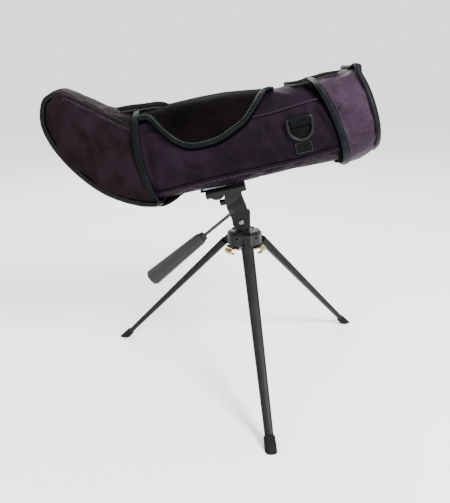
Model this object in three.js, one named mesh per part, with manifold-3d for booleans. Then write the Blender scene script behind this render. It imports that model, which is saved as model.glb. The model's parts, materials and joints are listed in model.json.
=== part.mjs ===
// Spotting scope in its padded stay-on case, on a folding table-top tripod.
// Millimetres, +X towards the objective, +Z up, floor at Z = 0.

import * as THREE from 'three';
import { mergeVertices } from 'three/addons/utils/BufferGeometryUtils.js';
import Module from 'manifold-3d';

const wasm = await Module();
wasm.setup();

// ---------------------------------------------------------------- driving dimensions
const PAN_X = 29.18;              // the pan axis, measured from the middle of the whole object
const PAN_Y = 37;
const TURN = Math.PI * 2;
const GAP = 0.3;                  // left between neighbours that touch

const FOOT_CIRCLE = 178;          // radius of the circle that the three feet stand on
const LEG_TURN = THREE.MathUtils.degToRad(5.4);
const LEG_PIVOT = { r: 15.5, z: 162.9 };
const LEG = { start: 13, wide: 14, deep: 9.2, wideEnd: 8.6, deepEnd: 5.8, wall: 0.9 };
const TONGUE = { half: 3.6, round: 4.2 };
const FOOT = { length: 14, wide: 11.4, deep: 9, overlap: 8 };
const HUB = { r: 20, low: 152, high: 169.2, seat: 161 };

const TILT_AXIS = { x: -3.73, z: 179.8 };      // from the pan axis and the floor
const REST_TILT = THREE.MathUtils.degToRad(12);
// scope axes: u along the tube, y across it, v up from the top of the platform
const RIVET = { u: 10, v: -43.7 };

const PLATFORM = { u0: -22, u1: 24, half: 18, pad: 1.5, plate: 5.5 };
const SCREW_U = -10;              // the camera screw, which the scope's foot sits on
const HANDLE = { u: -1, v: -32.3, y: -6.4, drop: THREE.MathUtils.degToRad(27.1) };

const TUBE_V = 45;                // the scope's optical axis above the platform
const TUBE = { r: 30, wall: 2, u0: -70, u1: 84.7 };
const EYE = { u: -97, v: 45 };    // where the eyepiece axis leaves the prisms, at 45 degrees
const CASE = { half: 46, wall: 4, n: 3.6, nLow: 2.6 };

// ---------------------------------------------------------------- materials
const paint = (color, roughness, metalness) => ({ color, roughness, metalness });
const BLACK_PAINT = paint(0x2b2e2d, 0.45, 0.5);
const BLACK_PLASTIC = paint(0x242627, 0.55, 0);
const RUBBER = paint(0x1b1b1c, 0.85, 0);
const STEEL = paint(0xb9bcc0, 0.3, 1);
const BRASS = paint(0xc9a24a, 0.35, 1);
const ALLOY = paint(0x8d9196, 0.4, 1);
const GLASS = paint(0xa9c6cf, 0.08, 0);
const PLUM = paint(0x3a2a3a, 0.75, 0);
const FLAP_CLOTH = paint(0x17151a, 0.85, 0);
const WEBBING = paint(0x1e1d20, 0.85, 0);

// ---------------------------------------------------------------- solids and booleans
function solid(geometry) {
  const bare = geometry.toNonIndexed ? geometry.clone() : geometry;
  bare.deleteAttribute('normal');
  bare.deleteAttribute('uv');
  const welded = mergeVertices(bare, 1e-4);
  return new wasm.Manifold(new wasm.Mesh({
    numProp: 3,
    vertProperties: new Float32Array(welded.attributes.position.array),
    triVerts: new Uint32Array(welded.index.array),
  }));
}

function geometryOf(manifold) {
  const mesh = manifold.getMesh();
  const geometry = new THREE.BufferGeometry();
  geometry.setAttribute('position', new THREE.BufferAttribute(mesh.vertProperties, 3));
  geometry.setIndex(new THREE.BufferAttribute(mesh.triVerts, 1));
  geometry.computeVertexNormals();
  return geometry;
}

function cut(geometry, ...tools) {
  let body = solid(geometry);
  for (const tool of tools) {
    body = body.subtract(solid(tool));
  }
  return geometryOf(body);
}

function join(geometry, ...others) {
  let body = solid(geometry);
  for (const other of others) {
    body = body.add(solid(other));
  }
  return geometryOf(body);
}

const overlapOf = (a, b) => geometryOf(solid(a).intersect(solid(b)));

// ---------------------------------------------------------------- shapes
const toX = (geometry) => geometry.rotateY(Math.PI / 2);
const toY = (geometry) => geometry.rotateX(-Math.PI / 2);

function block(x0, x1, y0, y1, z0, z1) {
  const geometry = new THREE.BoxGeometry(x1 - x0, y1 - y0, z1 - z0);
  return geometry.translate((x0 + x1) / 2, (y0 + y1) / 2, (z0 + z1) / 2);
}

// a body of revolution about Z from [radius, height] pairs; closes itself off the axis
function turned(profile, segments = 28) {
  const points = profile.map(([r, z]) => new THREE.Vector2(r, z));
  const onAxis = profile[0][0] === 0 && profile[profile.length - 1][0] === 0;
  if (!onAxis) {
    points.push(points[0].clone());
  }
  return new THREE.LatheGeometry(points, segments).rotateX(Math.PI / 2);
}

const rod = (r, z0, z1, segments = 18) => turned([[0, z0], [r, z0], [r, z1], [0, z1]], segments);
const tube = (rOut, rIn, z0, z1, segments = 28) =>
  turned([[rIn, z0], [rOut, z0], [rOut, z1], [rIn, z1]], segments);

// an outline in (x, z) given thickness from y0 to y1
function plate(outline, y0, y1, options = {}) {
  const shape = new THREE.Shape(outline.map(([x, z]) => new THREE.Vector2(x, z)));
  const geometry = new THREE.ExtrudeGeometry(shape, {
    depth: y1 - y0, bevelEnabled: false, curveSegments: 12, ...options,
  });
  return geometry.rotateX(Math.PI / 2).translate(0, y1, 0);
}

function arc(x, z, r, from, to, steps) {
  return Array.from({ length: steps + 1 }, (_, i) => {
    const angle = THREE.MathUtils.degToRad(from + (to - from) * i / steps);
    return [x + r * Math.cos(angle), z + r * Math.sin(angle)];
  });
}

// a strip that follows a line in (x, z), of one thickness, from y0 to y1
function strip(line, thickness, y0, y1) {
  const points = line.map(([x, z]) => new THREE.Vector2(x, z));
  const normalAt = (i) => {
    const before = points[Math.max(i - 1, 0)];
    const after = points[Math.min(i + 1, points.length - 1)];
    const along = after.clone().sub(before).normalize();
    return new THREE.Vector2(-along.y, along.x).multiplyScalar(thickness / 2);
  };
  const upper = points.map((p, i) => p.clone().add(normalAt(i)).toArray());
  const lower = points.map((p, i) => p.clone().sub(normalAt(i)).toArray());
  return plate([...lower, ...upper.reverse()], y0, y1);
}

// a closed loft through superellipse sections; a section stands square to X unless lean tips it
function loft(sections, count = 40) {
  const positions = [];
  for (const { x, z, y = 0, halfY, halfZ, n = 2, nLow = n, lean = 0, bow = 0 } of sections) {
    for (let k = 0; k < count; k += 1) {
      const angle = TURN * k / count;
      const shape = 2 / (Math.sin(angle) < 0 ? nLow : n);
      const power = (value) => Math.sign(value) * Math.abs(value) ** shape;
      const dz = power(Math.sin(angle)) * halfZ;
      const dx = lean * dz + bow * dz * dz;
      positions.push(x + dx, y + power(Math.cos(angle)) * halfY, z + dz);
    }
  }
  const faces = [];
  for (let s = 0; s < sections.length - 1; s += 1) {
    for (let k = 0; k < count; k += 1) {
      const a = s * count + k;
      const b = s * count + (k + 1) % count;
      faces.push(a, b, a + count, b, b + count, a + count);
    }
  }
  const last = (sections.length - 1) * count;
  for (let k = 1; k < count - 1; k += 1) {
    faces.push(0, k + 1, k, last, last + k, last + k + 1);
  }
  const geometry = new THREE.BufferGeometry();
  geometry.setAttribute('position', new THREE.Float32BufferAttribute(positions, 3));
  geometry.setIndex(faces);
  geometry.computeVertexNormals();
  return geometry;
}

// an outline moved inwards by a distance, for the inside of a sewn shell
function inset(outline, distance) {
  const count = outline.length;
  return outline.map(([x, z], i) => {
    const [bx, bz] = outline[(i + count - 1) % count];
    const [ax, az] = outline[(i + 1) % count];
    const length = Math.hypot(ax - bx, az - bz);
    return [x - (az - bz) / length * distance, z + (ax - bx) / length * distance];
  });
}

// ---------------------------------------------------------------- scene graph
const object = new THREE.Group();
object.position.set(PAN_X, PAN_Y, 0);

function add(parent, name, geometry, { color, roughness, metalness }) {
  const material = new THREE.MeshStandardMaterial({ color, roughness, metalness });
  const mesh = new THREE.Mesh(geometry, material);
  mesh.name = name;
  parent.add(mesh);
  return mesh;
}

// ---------------------------------------------------------------- tripod: hub and legs
const legAngles = [0, 1, 2].map((k) => LEG_TURN + k * TURN / 3);
const legSpread = Math.atan2(FOOT_CIRCLE - LEG_PIVOT.r, LEG_PIVOT.z);
const legLength = Math.hypot(FOOT_CIRCLE - LEG_PIVOT.r, LEG_PIVOT.z);
const LEG_NAMES = ['front', 'right', 'left'];

// turns a shape whose leg points along +X to the given leg's place
const toLeg = (geometry, angle) => geometry.rotateZ(angle - Math.PI / 2);

function hubBody() {
  const slotHalf = TONGUE.half + 0.4;
  const cuts = [rod(10, HUB.seat, HUB.high + 1, 28), rod(3.6, HUB.low - 1, HUB.seat + 1)];
  for (const angle of legAngles) {
    cuts.push(toLeg(block(10.9, 30, -slotHalf, slotHalf, HUB.low - 1, HUB.high + 1), angle));
    const hole = toY(rod(1.9, -12, 12, 16)).translate(LEG_PIVOT.r, 0, LEG_PIVOT.z);
    cuts.push(toLeg(hole, angle));
  }
  const blank = turned([[0, HUB.low], [HUB.r - 2, HUB.low], [HUB.r, HUB.low + 2],
    [HUB.r, HUB.high - 3], [HUB.r - 3, HUB.high], [0, HUB.high]], 32);
  return cut(blank, ...cuts);
}

// a brass plate under the hub; an ear curled down between each pair of legs
function stopPlate() {
  const low = HUB.low - 2.2;
  const high = low + 1.3;
  const notches = legAngles.map((angle) => toLeg(block(9.5, 30, -7.6, 7.6, low - 1, high + 1), angle));
  const curlAt = { r: 20.5, z: low - 2.6 };
  const curl = [...arc(curlAt.r, curlAt.z, 3.9, 90, -130, 12),
    ...arc(curlAt.r, curlAt.z, 2.6, -130, 90, 12)];
  const ears = legAngles.map((angle) => toLeg(plate(curl, -6, 6), angle + TURN / 6));
  return cut(join(rod(21, low, high, 32), ...ears), ...notches, rod(4.2, low - 1, high + 1));
}

function buildHub() {
  add(object, 'hub_body', hubBody(), BLACK_PAINT);
  add(object, 'leg_stop_plate', stopPlate(), BRASS);
  legAngles.forEach((angle, k) => {
    const pin = toY(rod(1.6, -8.5, 8.5, 16)).translate(LEG_PIVOT.r, 0, LEG_PIVOT.z);
    add(object, `${LEG_NAMES[k]}_leg_pin`, toLeg(pin, angle), STEEL);
  });
}

// sections of the leg in its own axes: x away from the pivot, z the inner face's direction
function legSections(from, to, shrink) {
  return [from, to].map((x) => {
    const t = (x - LEG.start) / (legLength - LEG.start);
    return {
      x,
      z: 0,
      halfY: THREE.MathUtils.lerp(LEG.wide, LEG.wideEnd, t) / 2 - shrink,
      halfZ: THREE.MathUtils.lerp(LEG.deep, LEG.deepEnd, t) / 2 - shrink,
      n: 3,
    };
  });
}

function legTube() {
  const end = legLength - FOOT.length + FOOT.overlap;
  const bore = loft(legSections(LEG.start + 20, end + 1, LEG.wall), 20);
  const disc = toY(rod(TONGUE.round, -TONGUE.half, TONGUE.half, 24));
  const shank = block(0, LEG.start + 4, -TONGUE.half, TONGUE.half, -3.3, 3.3);
  const pinHole = toY(rod(1.9, -8, 8, 16));
  const outer = loft(legSections(LEG.start, end, 0), 20);
  return cut(join(outer, disc, shank), bore, pinHole);
}

function footCap() {
  const from = legLength - FOOT.length;
  const size = { z: 0, n: 2.6 };
  const outer = loft([
    { x: from, halfY: FOOT.wide / 2 - 1, halfZ: FOOT.deep / 2 - 1, ...size },
    { x: from + 1.5, halfY: FOOT.wide / 2, halfZ: FOOT.deep / 2, ...size },
    { x: legLength + 9, halfY: FOOT.wide / 2 + 0.6, halfZ: FOOT.deep / 2 + 0.6, ...size },
  ], 28);
  const socket = loft(legSections(from - 1, from + FOOT.overlap + GAP, -GAP), 20);
  const sole = block(-30, 30, -30, 30, -60, 0);
  sole.rotateY(-(Math.PI / 2 - legSpread)).translate(legLength, 0, 0);
  return cut(outer, socket, sole);
}

function buildLegs() {
  legAngles.forEach((angle, k) => {
    const turn = new THREE.Group();
    turn.rotation.z = angle - Math.PI / 2;
    const lean = new THREE.Group();
    lean.position.set(LEG_PIVOT.r, 0, LEG_PIVOT.z);
    lean.rotation.y = Math.PI / 2 - legSpread;
    object.add(turn);
    turn.add(lean);
    add(lean, `${LEG_NAMES[k]}_leg`, legTube(), BLACK_PAINT);
    add(lean, `${LEG_NAMES[k]}_foot`, footCap(), RUBBER);
  });
}

// ---------------------------------------------------------------- tripod: pan head
const UPRIGHT = { x0: -13.5, x1: 6.8, top: 193.4, half: 4 };

function uprightBracket() {
  const { x0, x1, top } = UPRIGHT;
  const foot = HUB.high + GAP;
  const outline = [[x0 + 5, foot], [x1 - 1.5, foot], [x1, foot + 4], [x1, top - 2], [x1 - 2, top],
    [x0 + 7, top - 3], [x0, top - 12], [x0, foot + 6]];
  const body = plate(outline, -UPRIGHT.half, UPRIGHT.half);
  const bore = toY(rod(2.8, -10, 10)).translate(TILT_AXIS.x, 0, TILT_AXIS.z);
  return cut(body, bore);
}

function buildPanHead() {
  add(object, 'pan_base', cut(rod(9.6, HUB.seat + GAP, HUB.high, 28),
    rod(3.4, HUB.seat - 1, HUB.high + 1)), BLACK_PAINT);
  add(object, 'upright_bracket', uprightBracket(), BLACK_PAINT);
  const shank = rod(3, HUB.low - 6, HUB.high - 0.8, 24);
  const head = rod(6, HUB.low - 7.5, HUB.low - 3.2, 6);
  add(object, 'pan_bolt', join(shank, head), STEEL);
}

// ---------------------------------------------------------------- tilting head
const tilt = new THREE.Group();
tilt.position.set(TILT_AXIS.x, 0, TILT_AXIS.z);
tilt.rotation.y = -REST_TILT;
object.add(tilt);
const scope = new THREE.Group();
scope.position.set(-RIVET.u, 0, -RIVET.v);
tilt.add(scope);

const NECK_HALF = 8.5;
const SPLIT = { u0: -2.4, v0: -23.6, u1: 17, v1: -14.6 };      // where boss and neck meet

function neckBracket() {
  const outline = [[SPLIT.u0, SPLIT.v0 - GAP], [-1.6, -28], [0.2, -37],
    ...arc(RIVET.u, RIVET.v, 9.8, 180, 360, 14), [19.8, -28.6], [SPLIT.u1 + 0.6, SPLIT.v1 - GAP]];
  const fork = toY(rod(20.6, -UPRIGHT.half - 0.4, UPRIGHT.half + 0.4, 28));
  const bore = toY(rod(2.8, -12, 12)).translate(RIVET.u, 0, RIVET.v);
  const socket = handlePlace(toX(rod(2.2, -9, 4, 16)));
  return cut(plate(outline, -NECK_HALF, NECK_HALF), fork.translate(RIVET.u, 0, RIVET.v), bore, socket);
}

// puts a shape whose axis is X, pointing away from the neck, on the handle's line
function handlePlace(geometry) {
  geometry.rotateY(Math.PI - HANDLE.drop);
  return geometry.translate(HANDLE.u, HANDLE.y, HANDLE.v);
}

function buildNeck() {
  add(scope, 'neck_bracket', neckBracket(), BLACK_PAINT);
  const shank = toY(rod(2.4, -NECK_HALF - 0.4, NECK_HALF + 3.4));
  const head = toY(turned([[0, -NECK_HALF - 2.6], [2.2, -NECK_HALF - 2.3], [3.2, -NECK_HALF - 1.4],
    [3.2, -NECK_HALF - GAP], [0, -NECK_HALF - GAP]], 24));
  add(scope, 'tilt_bolt', join(shank, head).translate(RIVET.u, 0, RIVET.v), STEEL);
  const nut = cut(rod(4.4, NECK_HALF + GAP, NECK_HALF + 3, 6), rod(2.7, 0, 30));
  add(scope, 'tilt_nut', toY(nut).translate(RIVET.u, 0, RIVET.v), STEEL);
}

function buildPlatform() {
  const { u0, u1, half, pad, plate: thick } = PLATFORM;
  const low = -pad - thick;
  const bossTop = low - GAP;
  const hole = rod(3.4, -30, 5).translate(SCREW_U, 0, 0);
  add(scope, 'platform_pad', cut(block(u0 + 1, u1 - 1, -half + 1, half - 1, -pad + GAP, 0), hole), RUBBER);
  const outline = new THREE.Shape();
  outline.moveTo(u0 + 3, -half);
  outline.lineTo(u1 - 3, -half);
  outline.absarc(u1 - 3, -half + 3, 3, -Math.PI / 2, 0);
  outline.absarc(u1 - 3, half - 3, 3, 0, Math.PI / 2);
  outline.absarc(u0 + 3, half - 3, 3, Math.PI / 2, Math.PI);
  outline.absarc(u0 + 3, -half + 3, 3, Math.PI, Math.PI * 1.5);
  const slab = new THREE.ExtrudeGeometry(outline, {
    depth: thick, bevelEnabled: false, curveSegments: 4,
  }).translate(0, 0, low);
  add(scope, 'platform_plate', cut(slab, hole), BLACK_PLASTIC);
  const screwHole = toX(rod(2.3, -12, 7, 16)).translate(0, 0, -18);
  const boss = plate([[-1, bossTop], [SPLIT.u0, -12], [SPLIT.u0, SPLIT.v0], [SPLIT.u1, SPLIT.v1],
    [18.4, bossTop]], -NECK_HALF, NECK_HALF);
  add(scope, 'platform_boss', cut(boss, screwHole), BLACK_PLASTIC);
  const knob = toX(rod(3.6, -9, SPLIT.u0 - GAP, 12));
  add(scope, 'platform_clamp_screw', join(knob, toX(rod(2, -8, 6.5, 16))).translate(0, 0, -18),
    BLACK_PLASTIC);
  const flange = rod(4.6, low - 6.4, low - 4.9, 24);
  const screw = join(rod(3, low - 6, 8, 24), flange).translate(SCREW_U, 0, 0);
  add(scope, 'camera_screw', screw, STEEL);
  const wheel = cut(rod(7.4, low - 4.6, low - GAP, 20), rod(3.3, -40, 5)).translate(SCREW_U, 0, 0);
  add(scope, 'camera_screw_wheel', wheel, BLACK_PLASTIC);
}

function buildHandle() {
  add(scope, 'handle_rod', handlePlace(toX(rod(1.9, -8, 56, 16))), STEEL);
  const collar = handlePlace(toX(turned([[2.2, 37], [4.6, 37], [5.6, 39], [5.6, 41.4], [2.2, 41.4]], 24)));
  add(scope, 'handle_collar', collar, BLACK_PLASTIC);
  const grip = turned([[0, 41.7], [6.6, 41.7], [7.3, 44], [10, 117], [8.6, 120], [0, 120]], 8);
  const bore = rod(2.2, 40, 57, 16);
  add(scope, 'handle_grip', handlePlace(toX(cut(grip, bore))), BLACK_PLASTIC);
}

// ---------------------------------------------------------------- the scope's optics
// shapes turned about X are placed on the optical axis
const onAxis = (geometry) => toX(geometry).translate(0, 0, TUBE_V);

function buildTube() {
  const { r, wall, u0, u1 } = TUBE;
  const guideSlot = block(-57.6, -41, -1.6, 1.6, TUBE_V + 20, TUBE_V + 40);
  add(scope, 'main_tube', cut(onAxis(tube(r, r - wall, u0, u1, 32)), guideSlot), BLACK_PAINT);
  const tapped = rod(3.4, -5, 9.5).translate(SCREW_U, 0, 0);
  const foot = cut(block(SCREW_U - 13, SCREW_U + 13, -9, 9, GAP, TUBE_V - 20), tapped,
    onAxis(rod(r + GAP, u0, u1, 32)));
  add(scope, 'scope_foot', foot, ALLOY);
  const ring = turned([[r + 0.4, -62], [r + 3.6, -61], [r + 3.6, -37], [r + 0.4, -36]], 32);
  add(scope, 'focus_ring', onAxis(ring), RUBBER);
  add(scope, 'focus_carriage', cut(onAxis(tube(r - wall - 0.4, 22, -61, -49, 28)),
    rod(1.5, TUBE_V + 20, TUBE_V + 40, 16).translate(-56, 0, 0)), ALLOY);
  add(scope, 'focus_guide_pin', rod(1.2, TUBE_V + 22.5, TUBE_V + r - 0.2, 16).translate(-56, 0, 0), STEEL);
  add(scope, 'focus_lens', onAxis(lens(21.7, -59, 3.4, 5.2)), GLASS);
}

// a lens about Z: rim radius, where its back face starts, edge and middle thickness
function lens(radius, z, edge, middle) {
  const steps = 3;
  const rise = middle - edge;
  const face = Array.from({ length: steps + 1 }, (_, i) => {
    const rr = radius * (1 - i / steps);
    return [rr, z + edge + rise * (1 - (rr / radius) ** 2)];
  });
  return turned([[0, z], [radius, z], ...face], 22);
}

function buildObjective() {
  const cellBore = turned([[0, 80], [25.5, 80], [25.5, 90], [30.6, 90], [30.6, 130], [0, 130]], 28);
  const cell = cut(rod(33, 85, 108, 32), cellBore);
  add(scope, 'objective_cell', onAxis(cell), BLACK_PAINT);
  add(scope, 'objective_flint_lens', onAxis(lens(30.2, 90.4, 3, 3.1)), GLASS);
  add(scope, 'objective_crown_lens', onAxis(lens(30.2, 94, 3.4, 8)), GLASS);
  add(scope, 'lens_retaining_ring', onAxis(tube(30.2, 27.5, 102.6, 105.4, 28)), BLACK_PAINT);
  add(scope, 'sunshade', onAxis(tube(36.6, 34, 86, 148, 32)), BLACK_PAINT);
  const cap = turned([[0, 149.2], [36.8, 149.2], [36.9, 138], [39, 138], [39.6, 140],
    [39.6, 151], [38, 152.4], [0, 152.4]], 32);
  add(scope, 'objective_cap', onAxis(cap), RUBBER);
}

function buildPrismHousing() {
  const outline = [[-70.4, 17], [-92, 17], [-108, 27], [-110.5, 33], [-110.5, 40], [-90, 63], [-82, 78], [-70.4, 78]];
  const cavity = [[-73, 21], [-91, 21], [-104.5, 29.5], [-106.5, 34], [-106.5, 40], [-88, 61], [-80, 74], [-73, 74]];
  const bevel = { bevelEnabled: true, bevelSize: 3, bevelOffset: -3, bevelThickness: 3, bevelSegments: 2 };
  const shell = cut(plate(outline, -25, 25, bevel), plate(cavity, -24, 24));
  const bore = onAxis(rod(25, -80, -60, 32));
  const eyeHole = eyePlace(rod(13.6, -10, 40, 32));
  const open = cut(shell, bore, eyeHole);
  add(scope, 'rear_housing_left', cut(open, block(-140, 0, -GAP / 2, 60, 0, 120)), BLACK_PAINT);
  add(scope, 'rear_housing_right', cut(open, block(-140, 0, -60, GAP / 2, 0, 120)), BLACK_PAINT);
  const prism = plate([[-75, 24], [-91, 24], [-101.5, 31], [-103.5, 35], [-103.5, 38], [-94, 50], [-75, 62]], -16, 16);
  add(scope, 'prism_block', prism, GLASS);
  add(scope, 'prism_clamp', strip([[-94.2, 51.6], [-85, 57.4], [-76, 63.1]], 1.4, -12, 12), ALLOY);
}

// puts a shape turned about Z on the eyepiece axis
function eyePlace(geometry) {
  return geometry.rotateY(-Math.PI / 4).translate(EYE.u, 0, EYE.v);
}

function buildEyepiece() {
  const barrel = turned([[12, 8], [13.2, 8], [13.2, 44], [10.5, 44], [10.5, 18], [12, 18]], 24);
  add(scope, 'eyepiece_barrel', eyePlace(barrel), BLACK_PAINT);
  add(scope, 'eyepiece_field_lens', eyePlace(lens(10.1, 22, 2.4, 4.6)), GLASS);
  add(scope, 'eyepiece_eye_lens', eyePlace(lens(10.1, 38, 2.2, 4)), GLASS);
  add(scope, 'zoom_ring', eyePlace(tube(16.5, 13.6, 21, 34, 24)), RUBBER);
  const cup = turned([[13.6, 35], [16, 35], [16.4, 47], [14.6, 49], [13.2, 49], [13.6, 45]], 24);
  add(scope, 'eyecup', eyePlace(cup), RUBBER);
  const cap = turned([[0, 49.4], [16.9, 49.4], [16.9, 41], [18.2, 41], [18.2, 50.6], [16, 52], [0, 52]], 24);
  add(scope, 'eyepiece_cap', eyePlace(cap), BLACK_PLASTIC);
}

// ---------------------------------------------------------------- the padded case
// how high the case's top and bottom run along the tube
const CASE_STATIONS = [
  { u: -73, low: 2.8, high: 97.2 },
  { u: -28, low: 2.6, high: 97.4 },
  { u: 0, low: 1.2, high: 97 },
  { u: 25, low: 1, high: 95.8 },
  { u: 42, low: 1.6, high: 93.6 },
  { u: 58, low: 2.8, high: 91.2 },
  { u: 78, low: 2.8, high: 89 },
  { u: 110, low: 2, high: 89 },
  { u: 136, low: 0.8, high: 89.1 },
  { u: 150, low: 0.6, high: 89.2 },
];

function caseSections(grow, list = CASE_STATIONS) {
  return list.map(({ u, low, high, half = CASE.half, lean, bow }) => ({
    x: u,
    z: (low + high) / 2,
    halfY: half + grow,
    halfZ: (high - low) / 2 + grow,
    n: CASE.n,
    nLow: CASE.nLow,
    lean,
    bow,
  }));
}

function buildSleeve() {
  const past = CASE_STATIONS.map((s, i, all) => ({
    ...s, u: i === 0 ? s.u - 1 : i === all.length - 1 ? s.u + 1 : s.u,
  }));
  const inner = loft(caseSections(-CASE.wall, past), 28);
  const footHole = block(SCREW_U - 15, SCREW_U + 15, -11, 11, -20, 20);
  add(scope, 'case_sleeve', cut(loft(caseSections(0), 28), inner, footHole), PLUM);
}

// the cover's open rim is pulled back at the top, and its front edge is bowed
function buildFrontCover() {
  const rim = { lean: -0.21, bow: -0.0019 };
  const front = { lean: -0.11, bow: -0.0024 };
  const outer = [
    { u: 127.2, low: -2.6, high: 91.8, half: 49, ...rim },
    { u: 150, low: -0.8, high: 91.8, half: 49.4, lean: -0.16, bow: -0.0021 },
    { u: 169, low: 5, high: 94.6, half: 48.6, ...front },
    { u: 173.6, low: 11, high: 90, half: 43, ...front },
  ];
  const inner = [
    { u: 121, low: 0, high: 89.7, half: 46.5, ...rim },
    { u: 150, low: 0.2, high: 90, half: 46.5, lean: -0.16, bow: -0.0021 },
    { u: 166, low: 8, high: 92.4, half: 45.4, ...front },
  ];
  const shell = cut(loft(caseSections(0, outer), 28), loft(caseSections(0, inner), 28));
  add(scope, 'case_front_cover', shell, PLUM);
  const line = [[146, 95.2], [138, 94.2], [124, 93.7], [114, 93.4], [100, 92.2], [87, 92.2]];
  add(scope, 'front_cover_strap', strip(line, 2, -16, 16), FLAP_CLOTH);
}

const HOOD_OUTLINE = [[-73.6, 101.6], [-84, 104.4], [-93, 107.6], [-101, 111.6], [-109, 117],
  [-125, 127.8], [-140, 137.8], [-148.5, 139.2], [-159, 133.3], [-165.5, 124.5], [-168.3, 110.9],
  [-165.4, 93.5], [-157.8, 74.9], [-146.4, 55.3], [-138.8, 45], [-129.1, 34.2], [-119, 25.4],
  [-106.2, 17.3], [-86, 8.2], [-73.6, 4.4]];

function hoodShell() {
  const half = 47;
  const bevel = (size, segments) => ({
    bevelEnabled: true, bevelSize: size, bevelOffset: -size, bevelThickness: size, bevelSegments: segments,
  });
  const outer = plate(HOOD_OUTLINE, -half + 5, half - 5, bevel(5, 2));
  const walls = inset(HOOD_OUTLINE, CASE.wall);
  walls[0] = [-60, 98];
  walls[walls.length - 1] = [-60, 8];
  const inner = plate(walls, -half + 9, half - 9, bevel(5, 2));
  const rim = block(-73.6, -40, -60, 60, -30, 130);
  const shell = cut(outer, inner, rim);
  const place = shell.attributes.position;
  for (let i = 0; i < place.count; i += 1) {
    const back = THREE.MathUtils.clamp((-100 - place.getX(i)) / 68, 0, 1);
    place.setY(i, place.getY(i) * (1 - 0.2 * back));
  }
  return shell;
}

function buildHood() {
  add(scope, 'eyepiece_hood', hoodShell(), PLUM);
  const top = [[-93, 109.5], [-84, 109], [-67, 107.2], [-50, 105.4], [-41, 101.8]];
  add(scope, 'hood_top_strap', strip(top, 2.2, -14, 14), FLAP_CLOTH);
  const bottom = [[-92, 8.2], [-82, 4.2], [-75, -2], [-69, -4.4], [-60, -3.6], [-47, 0.6]];
  add(scope, 'hood_bottom_strap', strip(bottom, 2.2, -14, 14), FLAP_CLOTH);
}

// the top flap: a skin on the sleeve, cut to its outline, hinged along the far top edge
const FLAP = { far: 24, gap: 0.6, thick: 2.4 };
const FLAP_EDGE = [[-70, 94], [-60, 93.4], [-54, 89.6], [-45, 77.7], [-35, 67], [-26, 61], [-14, 58.4],
  [0, 58.6], [10, 60], [20, 63.6], [35.5, 70], [48.4, 79.8], [60, 88], [71, 90]];

function buildFlap() {
  const reach = CASE_STATIONS.slice(0, 7);
  const skin = cut(loft(caseSections(FLAP.gap + FLAP.thick, reach), 44),
    loft(caseSections(FLAP.gap, reach.map((s, i) => ({ ...s, u: s.u + (i ? 1 : -1) }))), 44));
  const outline = [...FLAP_EDGE, [71, 130], [-70, 130]];
  const strapNotch = block(-80, -35, -17, 17, 85, 130);
  const flap = cut(overlapOf(skin, plate(outline, -60, FLAP.far)), strapNotch);
  add(scope, 'case_top_flap', flap, FLAP_CLOTH);
}

// a D-ring on a folded tab of webbing, one on each side of the case
const RING = { u: 91, v: 59.8, y: 50.6, wire: 3, width: 28, drop: 23 };

function dRing() {
  const { width, wire, drop } = RING;
  const outline = (edge) => {
    const half = width / 2 - edge;
    const straight = drop - width / 2;
    return [[-half, wire / 2 - edge], [-half, -straight],
      ...arc(0, -straight, half, 180, 360, 14), [half, wire / 2 - edge]];
  };
  return cut(plate(outline(0), -wire / 2, wire / 2), plate(outline(wire), -wire, wire));
}

function buildRings() {
  for (const [name, side] of [['near', -1], ['far', 1]]) {
    const y = side * RING.y;
    add(scope, `d_ring_${name}`, dRing().translate(RING.u, y, RING.v), BLACK_PLASTIC);
    const tab = block(-9.8, 9.8, -0.9, 0.9, -37, 0).translate(0, -side * 3.2, 0);
    const loop = toX(rod(4, -9.8, 9.8, 24));
    const eye = toX(rod(2.5, -20, 20, 20));
    add(scope, `ring_webbing_${name}`, cut(join(tab, loop), eye).translate(RING.u, y, RING.v), WEBBING);
  }
}

buildHub();
buildLegs();
buildPanHead();
buildNeck();
buildPlatform();
buildHandle();
buildTube();
buildObjective();
buildPrismHousing();
buildEyepiece();
buildSleeve();
buildFrontCover();
buildHood();
buildFlap();
buildRings();

export default object;
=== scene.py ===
"""Spotting scope in a padded stay-on case on a table-top tripod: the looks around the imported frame."""
import json
import math

import bmesh
import bpy
import numpy as np
from mathutils import Matrix, Vector, noise


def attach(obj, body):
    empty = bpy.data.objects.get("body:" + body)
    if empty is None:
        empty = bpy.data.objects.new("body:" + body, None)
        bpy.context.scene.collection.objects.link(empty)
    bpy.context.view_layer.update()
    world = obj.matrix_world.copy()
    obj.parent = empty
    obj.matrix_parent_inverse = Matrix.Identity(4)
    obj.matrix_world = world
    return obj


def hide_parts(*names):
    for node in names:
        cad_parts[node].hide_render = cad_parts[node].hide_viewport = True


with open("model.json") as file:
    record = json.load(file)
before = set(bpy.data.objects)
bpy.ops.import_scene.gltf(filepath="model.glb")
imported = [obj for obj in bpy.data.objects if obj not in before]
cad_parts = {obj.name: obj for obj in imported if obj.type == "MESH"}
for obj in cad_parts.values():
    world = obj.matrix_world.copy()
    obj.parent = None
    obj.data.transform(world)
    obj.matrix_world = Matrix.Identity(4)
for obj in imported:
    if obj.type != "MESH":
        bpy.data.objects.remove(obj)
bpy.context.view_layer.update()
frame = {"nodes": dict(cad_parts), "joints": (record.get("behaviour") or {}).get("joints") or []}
SCENE = bpy.context.scene
NODES = frame["nodes"]
JOINTS = {joint["name"]: joint for joint in frame["joints"]}
MM = 0.001

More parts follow.
